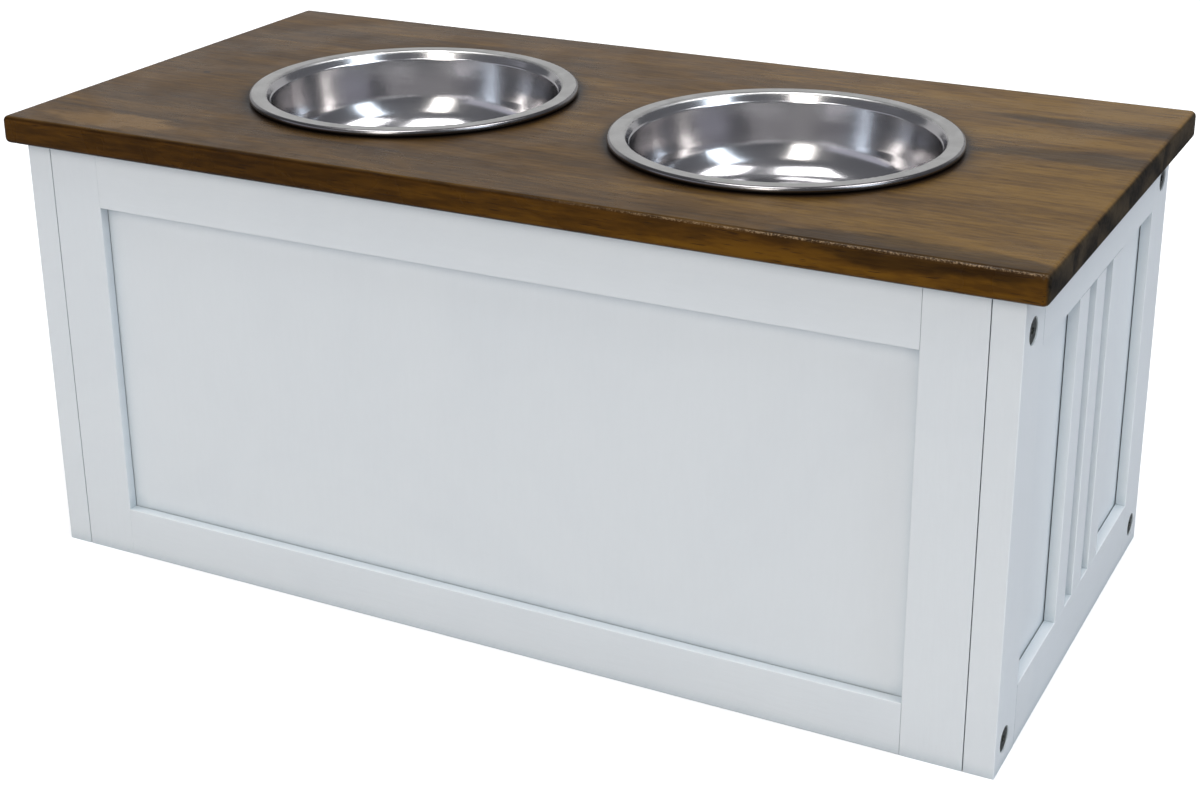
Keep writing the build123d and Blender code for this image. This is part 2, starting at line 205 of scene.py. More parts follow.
# %% [markdown]
# ## Grain that runs through the wood
#
# A board is cut from a trunk whose growth rings are nested tubes. Stripes painted on the top
# would be wrong on the end grain, where the same rings show as arcs. So the grain is worked out in
# three dimensions: each glued stave gets its own trunk centre, and a point's ring is its distance
# from that centre, pushed about by noise that is stretched along the board.
# The other parts of the wood come from stretched noise alone: broad clouds of tone, streaks, fine
# fibres and open pores. Every wooden board, bare or painted, uses this one effect with its own
# stave width and ring spacing.

# %% Staves and their growth rings
# The joints between staves swing by this share of a width, in waves of this many radians a metre
joint_swing = 0.24
joint_waves = 41.0

# How quickly the rings wander along, across and through a board, in steps a metre
wander_scale = (1.6, 9.0, 9.0)

# That noise seldom strays far from its middle, so its push on the rings is made stronger
ring_push = 6.0


def glued_staves(tree, across_board, given):
    """Three random numbers for the stave at a point, and how far the point is off its middle."""
    wave = maths(tree, "SINE", maths(tree, "MULTIPLY_ADD", across_board, joint_waves, given["Seed"]))
    steps = maths(tree, "DIVIDE", across_board, given["Stave Width"])
    steps = maths(tree, "MULTIPLY_ADD", wave, joint_swing, steps)
    number = maths(tree, "FLOOR", steps)
    off_middle = maths(tree, "SUBTRACT", maths(tree, "SUBTRACT", steps, number), 0.5)
    off_middle = maths(tree, "MULTIPLY", off_middle, given["Stave Width"])
    which = {"W": maths(tree, "ADD", number, given["Seed"])}
    draw = add_node(tree, "ShaderNodeTexWhiteNoise", which, noise_dimensions="1D").outputs["Color"]
    return add_node(tree, "ShaderNodeSeparateColor", {0: draw}).outputs, off_middle


def growth_rings(tree, along_trunk, through_board, chance, off_middle, given):
    """Rings round the trunk centre of a stave, which lies beside and below it."""
    beside = maths(tree, "MULTIPLY", maths(tree, "SUBTRACT", chance[0], 0.5), given["Stave Width"])
    below = maths(tree, "MULTIPLY", maths(tree, "ADD", chance[1], 0.25), given["Stave Width"])
    wander = maths(tree, "SUBTRACT", noise(tree, along_trunk, wander_scale, 2.0, 0.45), 0.5)
    wander = maths(tree, "MULTIPLY", wander, given["Ring Wander"])
    sideways = maths(tree, "ADD", off_middle, beside)
    downwards = maths(tree, "ADD", through_board, below)
    square = maths(tree, "MULTIPLY", downwards, downwards)
    square = maths(tree, "MULTIPLY_ADD", sideways, sideways, square)
    radius = maths(tree, "MULTIPLY_ADD", wander, ring_push, maths(tree, "SQRT", square))
    ring = maths(tree, "PINGPONG", maths(tree, "DIVIDE", radius, given["Ring Spacing"]), 1.0)
    return between(tree, ring, 0.0, 1.0)


print("joints swing by", joint_swing, "of a stave, rings wander at", wander_scale, "a metre")

# %% Effect: board grain
# How quickly each part changes along, across and through a board, in steps a metre
cloud_scale = (3.0, 9.0, 9.0)
streak_scale = (5.0, 48.0, 48.0)
fibre_scale = (42.0, 330.0, 330.0)
pore_scale = (70.0, 1500.0, 1500.0)

# Each stave is cut from another place along its trunk, up to this many metres away
trunk_length = 9.0


def make_board_grain():
    """Grain of glued staves. Place has x along the grain, y across and z through the board."""
    tree, given, made = effect_group(
        "board_grain",
        [
            ("Place", VECTOR, None),
            ("Stave Width", NUMBER, 0.06),
            ("Ring Spacing", NUMBER, 0.006),
            ("Ring Wander", NUMBER, 0.01),
            ("Seed", NUMBER, 0.0),
        ],
        ["Stave", "Rings", "Clouds", "Streaks", "Fibres", "Pores"],
    )
    split = parts_of(tree, given["Place"])
    chance, off_middle = glued_staves(tree, split["Y"], given)
    shift = {0: maths(tree, "MULTIPLY", chance[2], trunk_length)}
    shift = add_node(tree, "ShaderNodeCombineXYZ", shift).outputs[0]
    along_trunk = vectors(tree, "ADD", given["Place"], shift)
    clouds = noise(tree, along_trunk, cloud_scale, 3.0, 0.5)
    streaks = noise(tree, along_trunk, streak_scale, 6.0, 0.62, 0.3)
    fibres = noise(tree, along_trunk, fibre_scale, 3.0, 0.65)
    pores = noise(tree, along_trunk, pore_scale, 1.0, 0.4)
    outputs = {
        "Stave": chance[2],
        "Rings": growth_rings(tree, along_trunk, split["Z"], chance, off_middle, given),
        "Clouds": between(tree, clouds, 0.3, 0.7),
        "Streaks": between(tree, streaks, 0.3, 0.7),
        "Fibres": between(tree, fibres, 0.32, 0.68),
        "Pores": between(tree, pores, 0.66, 0.76),
    }
    plug(tree, made, outputs)
    return tree


board_grain = make_board_grain()

# %% [markdown]
# ## Wear, crevices and marks
#
# Real boards and sheet steel are never one flat tone. Metal edges get rubbed and hands leave dull
# patches. Shade gathers in tight corners and is painted there as darker colour, and rounded board
# edges get a painted highlight. Painting these by hand would tie them to one object.
# Every board here is square with small rounded edges, so a normal that leans away from all three
# axes can only be on such an edge, which costs nothing to test. Round metal has no such rule, and
# there a Bevel node finds edges by rounding the normal. An Ambient Occlusion node finds corners
# by looking around, and noise breaks the edges up, so one set of effects serves every finish.

# %% Effects: rounded edges of boards and worn edges of small metal pieces
# Noise that is the same in every direction
even_scale = (1.0, 1.0, 1.0)


def scaled_place(tree, given, factor):
    """The place that a group is given, multiplied by one of the group's own numbers."""
    scaled = add_node(tree, "ShaderNodeVectorMath", {0: given["Place"]}, operation="SCALE")
    plug(tree, scaled, {"Scale": given[factor]})
    return scaled.outputs["Vector"]


def broken_in_patches(tree, given, edge):
    """Break the mask of an edge up into patches: rubbed spots on metal, flecks of painted highlight on
    the lid.
    """
    patches = noise(tree, scaled_place(tree, given, "Breakup"), even_scale, 4.0, 0.65)
    return maths(tree, "MULTIPLY", edge, between(tree, patches, 0.45, 0.62))


def make_board_edges():
    """A mask of the rounded edges of a square board, clean and broken up."""
    tree, given, made = effect_group(
        "board_edges", [("Place", VECTOR, None), ("Breakup", NUMBER, 200.0)], ["Edge", "Broken"]
    )
    normal = add_node(tree, "ShaderNodeTexCoord").outputs["Normal"]
    sides = parts_of(tree, vectors(tree, "ABSOLUTE", normal))
    squarest = maths(tree, "MAXIMUM", maths(tree, "MAXIMUM", sides["X"], sides["Y"]), sides["Z"])
    edge = between(tree, squarest, 0.97, 0.80)
    plug(tree, made, {"Edge": edge, "Broken": broken_in_patches(tree, given, edge)})
    return tree


def make_edge_wear():
    """A mask of the edges of small metal pieces, broken up."""
    tree, given, made = effect_group(
        "edge_wear",
        [("Place", VECTOR, None), ("Reach", NUMBER, 0.001), ("Breakup", NUMBER, 200.0)],
        ["Broken"],
    )
    rounded = add_node(tree, "ShaderNodeBevel", {"Radius": given["Reach"]}, samples=6)
    flat = add_node(tree, "ShaderNodeNewGeometry").outputs["Normal"]
    agree = vectors(tree, "DOT_PRODUCT", rounded.outputs["Normal"], flat)
    edge = between(tree, agree, 0.995, 0.93)
    plug(tree, made, {"Broken": broken_in_patches(tree, given, edge)})
    return tree


board_edges = make_board_edges()
edge_wear = make_edge_wear()


# %% Effects: crevices, handling marks and lacquer ripple
# The finishes use this mask to paint shade into corners and gaps.
def make_crevice():
    """A mask of corners and gaps: 0 up to Start and 1 from Depth, as shares that are closed in."""
    tree, given, made = effect_group(
        "crevice",
        [("Distance", NUMBER, 0.004), ("Start", NUMBER, 0.25), ("Depth", NUMBER, 0.6)],
        ["Crevice"],
    )
    around = add_node(tree, "ShaderNodeAmbientOcclusion", {"Distance": given["Distance"]}, samples=6)
    closed = maths(tree, "SUBTRACT", 1.0, around.outputs["AO"])
    plug(tree, made, {"Crevice": between(tree, closed, given["Start"], given["Depth"])})
    return tree


def make_handling_marks():
    """Dull patches left by hands and cloths."""
    tree, given, made = effect_group(
        "handling_marks", [("Place", VECTOR, None), ("Size", NUMBER, 14.0)], ["Smudges"]
    )
    smudges = noise(tree, scaled_place(tree, given, "Size"), even_scale, 5.0, 0.6, 0.8)
    plug(tree, made, {"Smudges": between(tree, smudges, 0.35, 0.68)})
    return tree


def make_lacquer_ripple():
    """The faint orange-peel ripple of a sprayed coat, fine waves on broad ones, as a height."""
    tree, given, made = effect_group(
        "lacquer_ripple", [("Place", VECTOR, None), ("Size", NUMBER, 400.0)], ["Height"]
    )
    scaled = scaled_place(tree, given, "Size")
    fine = noise(tree, scaled, even_scale, 2.0, 0.5)
    broad = noise(tree, scaled, (0.05, 0.05, 0.05), 2.0, 0.5)
    plug(tree, made, {"Height": maths(tree, "MULTIPLY_ADD", broad, 4.0, fine)})
    return tree


crevice = make_crevice()
handling_marks = make_handling_marks()
lacquer_ripple = make_lacquer_ripple()

# %% [markdown]
# ## Masks by place
#
# A stained board has marks of its own: here a pale patch, a dark streak, a knot. They could be
# painted on a texture, but then they would stop at the surface. A spot is a ragged oval round a
# point and a band is a ragged stripe between two points, both measured in metres inside the board,
# so they run through it as the real ones do.


# %% Places, spots and bands
def turned_place(tree, along, origin):
    """Object place measured from origin, with x turned to run along the grain."""
    moved = vectors(tree, "SUBTRACT", object_place(tree), tuple(origin))
    split = parts_of(tree, moved)
    order = {"x": (0, 1, 2), "y": (1, 0, 2), "z": (2, 0, 1)}[along]
    joined = {target: split[source] for target, source in enumerate(order)}
    return add_node(tree, "ShaderNodeCombineXYZ", joined).outputs[0]


def spot_mask(tree, place, centre, half_size, ragged):
    """1 inside a ragged oval on the board, falling to 0 outside it."""
    offset = vectors(tree, "SUBTRACT", place, centre)
    distance = vectors(tree, "LENGTH", vectors(tree, "DIVIDE", offset, half_size))
    wobble = maths(tree, "SUBTRACT", noise(tree, place, (30.0, 90.0, 90.0), 3.0, 0.6), 0.5)
    distance = maths(tree, "MULTIPLY_ADD", wobble, ragged, distance)
    return between(tree, distance, 1.15, 0.75)


def band_mask(tree, place, start, end, half_width):
    """1 along a ragged band from start to end, which widens on the way and fades in at its start."""
    length = (Vector(end) - Vector(start)).length
    forward = (Vector(end) - Vector(start)).normalized()
    sideways = forward.cross(Vector((0.0, 0.0, 1.0)))
    offset = vectors(tree, "SUBTRACT", place, start)
    travelled = vectors(tree, "DOT_PRODUCT", offset, forward)
    aside = vectors(tree, "DOT_PRODUCT", offset, sideways)
    wobble = maths(tree, "SUBTRACT", noise(tree, place, (14.0, 60.0, 60.0), 4.0, 0.6), 0.5)
    aside = maths(tree, "ABSOLUTE", maths(tree, "MULTIPLY_ADD", wobble, half_width * 2.5, aside))
    width = between(tree, travelled, 0.0, length, half_width * 0.45, half_width)
    inside = between(tree, maths(tree, "DIVIDE", aside, width), 1.3, 0.4)
    return maths(tree, "MULTIPLY", inside, between(tree, travelled, -length * 0.2, length * 0.1))


lid_low, lid_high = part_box("lid_board")
lid_thickness = lid_high.z - lid_low.z
print("lid board is", round(1000 * lid_thickness, 1), "mm thick, marks are measured from its underside")

# %% [markdown]
# ## The stained lid
#
# The lid is solid wood glued up from staves, stained walnut brown and sealed with a satin coat.
# The wood is lighter towards the right. A colour ramp driven by the grain gives the browns,
# which is quicker to judge than one colour for each part of the wood.
# End grain drinks stain like a bundle of straws, so both ends turn nearly black and lose their
# gloss, while the long edges come out a warmer brown. The upper front edge is dark at the left,
# and a painted highlight lies on it in pale flecks at the right. Painted shade darkens the wood in
# tight corners, most of all below the bowls' rims.

# %% Browns of the stain
# From the darkest streak to the palest
stain_browns = [
    (0.10, (0.026, 0.012, 0.0025)),
    (0.40, (0.057, 0.028, 0.005)),
    (0.62, (0.090, 0.045, 0.008)),
    (0.92, (0.160, 0.086, 0.015)),
]
stain_shares = {"Streaks": 0.26, "Rings": 0.12, "Stave": 0.12, "Clouds": 0.16, "Fibres": 0.26}
lighter_to_right_share = 0.27
pore_brown = (0.030, 0.014, 0.005)
# Used for the knot, and for the painted shade in tight corners.
knot_and_shade_brown = (0.012, 0.007, 0.004)

# Marks of this one board: places are metres from the middle of its underside
pale_patch = {"centre": (-0.238, -0.130, 0.016), "half_size": (0.042, 0.014, 0.010), "ragged": 1.6}
pale_patch_colour = (0.19, 0.105, 0.03)
dark_patch = {"centre": (0.240, -0.147, 0.016), "half_size": (0.075, 0.014, 0.010), "ragged": 1.2}
middle_streak = {"start": (0.200, 0.024, 0.0), "end": (0.303, 0.032, 0.0), "half_width": 0.013}
rear_streak = {"start": (0.205, 0.097, 0.0), "end": (0.303, 0.094, 0.0), "half_width": 0.010}
dark_streak_tint = (0.32, 0.32, 0.40)
knot = {"centre": (-0.260, -0.020, 0.016), "half_size": (0.0026, 0.0018, 0.006), "ragged": 0.5}


def stained_top(tree, place, split, grain):
    """Browns from the grain, with the marks of this board on them."""
    # The browns grow lighter towards the right of the board.
    lighter_to_right = between(tree, split["X"], -0.15, 0.28)
    tone = weighted(tree, grain, stain_shares)
    tone = maths(tree, "MULTIPLY_ADD", lighter_to_right, lighter_to_right_share, tone)
    colour = colour_ramp(tree, tone, stain_browns)
    pale = maths(tree, "MULTIPLY", spot_mask(tree, place, **pale_patch), 0.55)
    colour = mix_colours(tree, pale, colour, pale_patch_colour)
    dark = band_mask(tree, place, **middle_streak)
    dark = maths(tree, "MAXIMUM", dark, band_mask(tree, place, **rear_streak))
    dark = maths(tree, "MAXIMUM", dark, spot_mask(tree, place, **dark_patch))
    colour = tinted(tree, maths(tree, "MULTIPLY", dark, 0.80), colour, dark_streak_tint)
    knotted = maths(tree, "MULTIPLY", spot_mask(tree, place, **knot), 0.85)
    colour = mix_colours(tree, knotted, colour, knot_and_shade_brown)
    return mix_colours(tree, grain["Pores"], colour, pore_brown)


print("browns:", len(stain_browns), "marks:", "one pale patch, one dark, two streaks and a knot")

# %% Ends, long edges and the upper front edge
end_shares = {"Rings": 0.65, "Fibres": 0.35}
end_dark = (0.005, 0.004, 0.003)
end_light = (0.056, 0.040, 0.022)
long_edge_tint = (0.92, 0.74, 0.22)
dark_line_tint = (0.40, 0.36, 0.34)
# The colour of the painted highlight on the upper front edge
painted_highlight_colour = (0.33, 0.22, 0.12)


def stained_ends(tree, colour, grain, facing, end_face):
    """Nearly black end grain with faint arcs, and warmer long edges."""
    arcs = weighted(tree, grain, end_shares)
    colour = mix_colours(tree, end_face, colour, mix_colours(tree, arcs, end_dark, end_light))
    long_face = between(tree, facing["Y"], 0.45, 0.9)
    return tinted(tree, long_face, colour, long_edge_tint)


def edge_lines_and_highlight(tree, colour, place, split, facing):
    """A dark line along every rounded edge, and flecks of painted highlight on the upper front edge at
    the right.
    """
    edges = use_effect(tree, board_edges, {"Place": place, "Breakup": 1100.0})
    to_the_right = between(tree, split["X"], 0.02, 0.16)
    upper = between(tree, split["Z"], 0.010, 0.013)
    upper = maths(tree, "MULTIPLY", upper, between(tree, facing["Y"], 0.35, 0.60))
    upper = maths(tree, "MULTIPLY", upper, between(tree, facing["Z"], 0.45, 0.65))
    darkness = maths(tree, "MULTIPLY_ADD", to_the_right, -0.55, 0.85)
    dark_line = maths(tree, "MULTIPLY", edges["Edge"], darkness)
    colour = tinted(tree, dark_line, colour, dark_line_tint)
    # Painted highlight: pale flecks along the middle of the upper front rounding, at the right.
    painted_highlight = maths(tree, "MULTIPLY", maths(tree, "MULTIPLY", edges["Broken"], to_the_right), upper)
    return mix_colours(tree, maths(tree, "MULTIPLY", painted_highlight, 0.65), colour, painted_highlight_colour)


print("end grain from", end_dark, "to", end_light)


# %% Material: stained wood
def stained_wood():
    """Walnut-stained staves with dark ends, a painted highlight on the front edge, painted shade in
    corners and a satin seal.
    """
    material, tree, shader = new_material("stained_wood")
    place = turned_place(tree, "x", (0.0, 0.0, lid_low.z))
    split = parts_of(tree, place)
    sizes = {"Stave Width": 0.064, "Ring Spacing": 0.011, "Ring Wander": 0.010}
    grain = use_effect(tree, board_grain, {"Place": place, "Seed": 3.0, **sizes})
    normal = add_node(tree, "ShaderNodeTexCoord").outputs["Normal"]
    facing = parts_of(tree, vectors(tree, "ABSOLUTE", normal))
    end_face = between(tree, facing["X"], 0.45, 0.9)
    colour = stained_top(tree, place, split, grain)
    colour = stained_ends(tree, colour, grain, facing, end_face)
    colour = edge_lines_and_highlight(tree, colour, place, split, facing)
    # Painted shade: the wood darkens toward deep brown where it is closed in, most of all under the
    # bowls' rims.
    painted_shade = use_effect(tree, crevice, {"Distance": 0.030, "Start": 0.012, "Depth": 0.20})
    colour = mix_colours(tree, painted_shade["Crevice"], colour, knot_and_shade_brown)

    marks = use_effect(tree, handling_marks, {"Place": place, "Size": 11.0})
    seal_gloss = between(tree, marks["Smudges"], 0.0, 1.0, 0.26, 0.36)
    ripple = use_effect(tree, lacquer_ripple, {"Place": place, "Size": 260.0})
    height = maths(tree, "MULTIPLY_ADD", grain["Fibres"], 0.5, ripple["Height"])
    height = maths(tree, "MULTIPLY_ADD", grain["Pores"], -1.2, height)
    finish = {
        "Base Color": colour,
        "Roughness": maths(tree, "MULTIPLY_ADD", end_face, 0.40, seal_gloss),
        "Normal": bump(tree, height, 0.00006),
        "IOR": 1.22,
    }
    plug(tree, shader, finish)
    return material


lid_finish = stained_wood()
print("finish", lid_finish.name, "on the lid board")

# %% [markdown]
# ## White paint
#
# The box is sprayed with a cool white satin paint. The solid frame members let a little of their
# grain show through the coat, along their own length, while the panels are smooth board.
# One function makes the paint for each direction of grain. The paint is a thin coat, so it could be
# a clear layer over wood, but an opaque white with a faint raised grain looks the same and is
# much cheaper to render. Rounded edges get a painted highlight, a paler line. Painted shade turns
# the open joints into thin dark lines, and gives the corners where a panel or a slat lies behind
# its frame a bluer, darker tone.

# %% Material: white paint
paint_clean = (0.772, 0.805, 0.826)
paint_smudged = (0.751, 0.785, 0.810)
paint_between_fibres = (0.60, 0.63, 0.65)
# A painted highlight on rounded edges
paint_edge_highlight = (0.86, 0.88, 0.89)
# Painted shade in open joints
joint_shade_grey = (0.20, 0.21, 0.21)
# Painted shade in recesses, bluer and darker
recess_shade_tint = (0.80, 0.835, 0.855)


def white_paint(name, along, grain_height):
    """Satin white paint over wood whose grain runs along an axis."""
    material, tree, shader = new_material(name)
    place = turned_place(tree, along, (0.0, 0.0, 0.0))
    sizes = {"Stave Width": 0.045, "Ring Spacing": 0.005, "Ring Wander": 0.006}
    grain = use_effect(tree, board_grain, {"Place": place, "Seed": 7.0, **sizes})
    marks = use_effect(tree, handling_marks, {"Place": place, "Size": 7.0})
    colour = mix_colours(tree, marks["Smudges"], paint_clean, paint_smudged)
    shown = maths(tree, "MULTIPLY", maths(tree, "SUBTRACT", 1.0, grain["Fibres"]), 0.04)
    colour = mix_colours(tree, shown, colour, paint_between_fibres)
    edges = use_effect(tree, board_edges, {"Place": place, "Breakup": 300.0})
    # Painted highlight: a paler line along the rounded edges.
    colour = mix_colours(tree, maths(tree, "MULTIPLY", edges["Edge"], 0.5), colour, paint_edge_highlight)
    # Painted shade: open joints and slits turn into thin dark lines.
    joint_shade = use_effect(tree, crevice, {"Distance": 0.0012, "Depth": 0.95})
    colour = mix_colours(tree, maths(tree, "MULTIPLY", joint_shade["Crevice"], 0.5), colour, joint_shade_grey)
    # Painted shade: a bluer, darker tone where a panel or a slat lies behind its frame.
    recess_shade = use_effect(tree, crevice, {"Distance": 0.010, "Start": 0.16, "Depth": 0.46})
    colour = tinted(tree, recess_shade["Crevice"], colour, recess_shade_tint)
    ripple = use_effect(tree, lacquer_ripple, {"Place": place, "Size": 330.0})
    height = maths(tree, "MULTIPLY_ADD", grain["Fibres"], grain_height, ripple["Height"])
    finish = {
        "Base Color": colour,
        "Roughness": between(tree, marks["Smudges"], 0.0, 1.0, 0.36, 0.46),
        "Normal": bump(tree, height, 0.00004),
        "IOR": 1.46,
    }
    plug(tree, shader, finish)
    return material


paint_upright = white_paint("white_paint_upright", along="z", grain_height=1.0)
paint_long = white_paint("white_paint_long", along="x", grain_height=1.0)
paint_deep = white_paint("white_paint_deep", along="y", grain_height=1.0)
paint_panel = white_paint("white_paint_panel", along="z", grain_height=0.1)
print("white paint for uprights, long rails, side rails and panels")

# %% [markdown]
# ## Bowl steel
#
# Each bowl is pressed from thin stainless sheet and polished while it spins, so the fine scratches
# run round it in circles. The flat rim is left satin and a little mottled. The curl at its very
# edge is painted dark grey, as painted shade and a painted dark reflection of the wood below it.
# Thousands of modelled scratches would be heavy. Anisotropic reflection, which spreads light
# across the scratches, draws the reflections out, and a little noise wound round the bowl's axis
# adds the marks that can be seen.

# %% Material: spun steel
rim_width = 0.0108
rim_fade = 0.0015
curl_width = 0.0019
steel_dark = (0.500, 0.490, 0.505)
steel_light = (0.585, 0.575, 0.585)
rim_dark = (0.58, 0.575, 0.56)
rim_light = (0.69, 0.685, 0.67)
# Painted shade and a painted dark reflection on the curl
curl_shade_grey = (0.24, 0.23, 0.235)


def from_the_axis(tree, place):
    """How far a point is from the axis of the bowl, and its place wound round that axis."""
    split = parts_of(tree, place)
    square = maths(tree, "MULTIPLY", split["Y"], split["Y"])
    radius = maths(tree, "SQRT", maths(tree, "MULTIPLY_ADD", split["X"], split["X"], square))
    angle = maths(tree, "ARCTAN2", split["Y"], split["X"])
    wound = add_node(tree, "ShaderNodeCombineXYZ", {0: radius, 1: angle, 2: split["Z"]})
    return radius, wound.outputs[0]


def bowl_steel(name, node_name):
    """Spun stainless steel: polished inside, satin on the rim, wound round the bowl's own axis."""
    material, tree, shader = new_material(name)
    low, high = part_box(node_name)
    middle = (low + high) / 2
    rim_radius = (high.x - low.x) / 2
    place = vectors(tree, "SUBTRACT", object_place(tree), (middle.x, middle.y, high.z))
    radius, wound = from_the_axis(tree, place)
    lines = noise(tree, wound, (2600.0, 1.3, 2600.0), 3.0, 0.6)
    bands = noise(tree, wound, (160.0, 0.8, 160.0), 2.0, 0.5)
    scuffs = between(tree, noise(tree, wound, (900.0, 9.0, 900.0), 3.0, 0.7), 0.62, 0.72)
    smudges = use_effect(tree, handling_marks, {"Place": place, "Size": 22.0})["Smudges"]
    mottle = use_effect(tree, handling_marks, {"Place": place, "Size": 55.0})["Smudges"]
    rim_start = rim_radius - rim_width
    curl_start = rim_radius - curl_width
    rim = between(tree, radius, rim_start, rim_start + rim_fade)
    curl = between(tree, radius, curl_start, rim_radius - curl_width / 2)

    inside_gloss = maths(tree, "MULTIPLY_ADD", smudges, 0.05, 0.12)
    inside_gloss = maths(tree, "MULTIPLY_ADD", lines, 0.05, inside_gloss)
    inside_gloss = maths(tree, "MULTIPLY_ADD", scuffs, 0.06, inside_gloss)
    rim_gloss = maths(tree, "MULTIPLY_ADD", smudges, 0.10, 0.30)
    rim_gloss = maths(tree, "MULTIPLY_ADD", curl, -0.14, rim_gloss)
    gloss_step = maths(tree, "SUBTRACT", rim_gloss, inside_gloss)

    colour = mix_colours(tree, bands, steel_dark, steel_light)
    colour = mix_colours(tree, rim, colour, mix_colours(tree, mottle, rim_dark, rim_light))
    # Painted shade and a painted dark reflection: the curl at the rim's edge is dark grey.
    colour = mix_colours(tree, curl, colour, curl_shade_grey)
    finish = {
        "Base Color": colour,
        "Metallic": 1.0,
        "Roughness": maths(tree, "MULTIPLY_ADD", rim, gloss_step, inside_gloss),
        "Anisotropic": 0.2,
        "Normal": bump(tree, maths(tree, "MULTIPLY_ADD", bands, 2.0, lines), 0.00001),
    }
    plug(tree, shader, finish)
    return material


bowl_finishes = {name: bowl_steel(f"{name}_steel", name) for name in ("bowl_left", "bowl_right")}
print("bowl finishes:", sorted(bowl_finishes))

# %% [markdown]
# ## Bolts and small hardware
#
# The corner bolts are blackened steel. The dark coat is thin, so bare metal glints through where a
# key or a thumb has rubbed it. Hinges, screws and barrel nuts are zinc plated, which dries in
# soft grey blotches. Both are plain metals with a noise that decides where the coat is.


# %% Material: blackened bolts and zinc hardware
def coated_metal(name, coat, bare, bare_share, rough, fleck_scale):
    """A metal with a thin coat that is rubbed through in flecks, and painted shade in its crevices."""
    material, tree, shader = new_material(name)
    place = object_place(tree)
    flecks = noise(tree, place, (fleck_scale, fleck_scale, fleck_scale), 4.0, 0.7, 0.4)
    flecks = between(tree, flecks, 1.0 - bare_share, 1.12 - bare_share)
    wear = use_effect(tree, edge_wear, {"Place": place, "Reach": 0.0005, "Breakup": 900.0})
    shown = maths(tree, "MAXIMUM", flecks, maths(tree, "MULTIPLY", wear["Broken"], 0.8))
    # Painted shade: the metal turns nearly black in its crevices.
    painted_shade = use_effect(tree, crevice, {"Distance": 0.002, "Depth": 0.9})
    colour = mix_colours(tree, shown, coat, bare)
    finish = {
        "Base Color": mix_colours(tree, painted_shade["Crevice"], colour, (0.01, 0.01, 0.01)),
        "Metallic": 0.9,
        "Roughness": between(tree, shown, 0.0, 1.0, rough, rough * 0.7),
        "Normal": bump(tree, flecks, 0.00003),
    }
    plug(tree, shader, finish)
    return material


bolt_finish = coated_metal(
    "bolt_steel",
    coat=(0.050, 0.062, 0.055),
    bare=(0.45, 0.46, 0.43),
    bare_share=0.45,
    rough=0.42,
    fleck_scale=700.0,
)
zinc_finish = coated_metal(
    "zinc_hardware",
    coat=(0.50, 0.51, 0.52),
    bare=(0.66, 0.66, 0.64),
    bare_share=0.52,
    rough=0.36,
    fleck_scale=260.0,
)
print("metal finishes:", bolt_finish.name, zinc_finish.name)

# %% [markdown]
# ## Bare wood inside
#
# The storage floor is thin plywood on pine cleats, and beech dowels locate the corners. They are
# seen only with the lid open or a corner apart, but they are made with the same grain effect.
# Pine and beech differ in colour and ring spacing alone, so one function makes both.

# %% Material: pine and beech
bare_shares = {"Rings": 0.5, "Streaks": 0.3, "Fibres": 0.2}


def bare_wood(name, along, dark, light, stave_width, ring_spacing):
    """Planed wood with no coat but a little wax."""
    material, tree, shader = new_material(name)
    place = turned_place(tree, along, (0.0, 0.0, 0.0))
    sizes = {"Stave Width": stave_width, "Ring Spacing": ring_spacing, "Ring Wander": 0.004}
    grain = use_effect(tree, board_grain, {"Place": place, "Seed": 11.0, **sizes})
    marks = use_effect(tree, handling_marks, {"Place": place, "Size": 18.0})
    height = maths(tree, "MULTIPLY_ADD", grain["Rings"], 0.5, grain["Fibres"])
    finish = {
        "Base Color": mix_colours(tree, weighted(tree, grain, bare_shares), dark, light),
        "Roughness": between(tree, marks["Smudges"], 0.0, 1.0, 0.55, 0.7),
        "Normal": bump(tree, height, 0.00005),
    }
    plug(tree, shader, finish)
    return material


pine = {
    "dark": (0.50, 0.30, 0.13),
    "light": (0.70, 0.50, 0.27),
    "stave_width": 0.05,
    "ring_spacing": 0.004,
}
pine_long = bare_wood("pine_long", along="x", **pine)
pine_deep = bare_wood("pine_deep", along="y", **pine)
beech = bare_wood(
    "beech",
    along="x",
    dark=(0.45, 0.27, 0.15),
    light=(0.62, 0.42, 0.26),
    stave_width=0.03,
    ring_spacing=0.003,
)
print("bare woods:", pine_long.name, pine_deep.name, beech.name)

# %% [markdown]
# ## Plywood for the storage floor
#
# Plywood is a stack of thin layers whose grain turns by a right angle from one to the next, so its
# edge shows as stripes. The stripes could be painted on the edge alone. Slicing the height into
# layers gives both the face and the striped edge from one graph.

# %% Material: plywood
ply_layers = 5
face_dark = (0.47, 0.31, 0.17)
face_light = (0.62, 0.45, 0.27)
core_dark = (0.27, 0.16, 0.08)
core_light = (0.42, 0.28, 0.15)


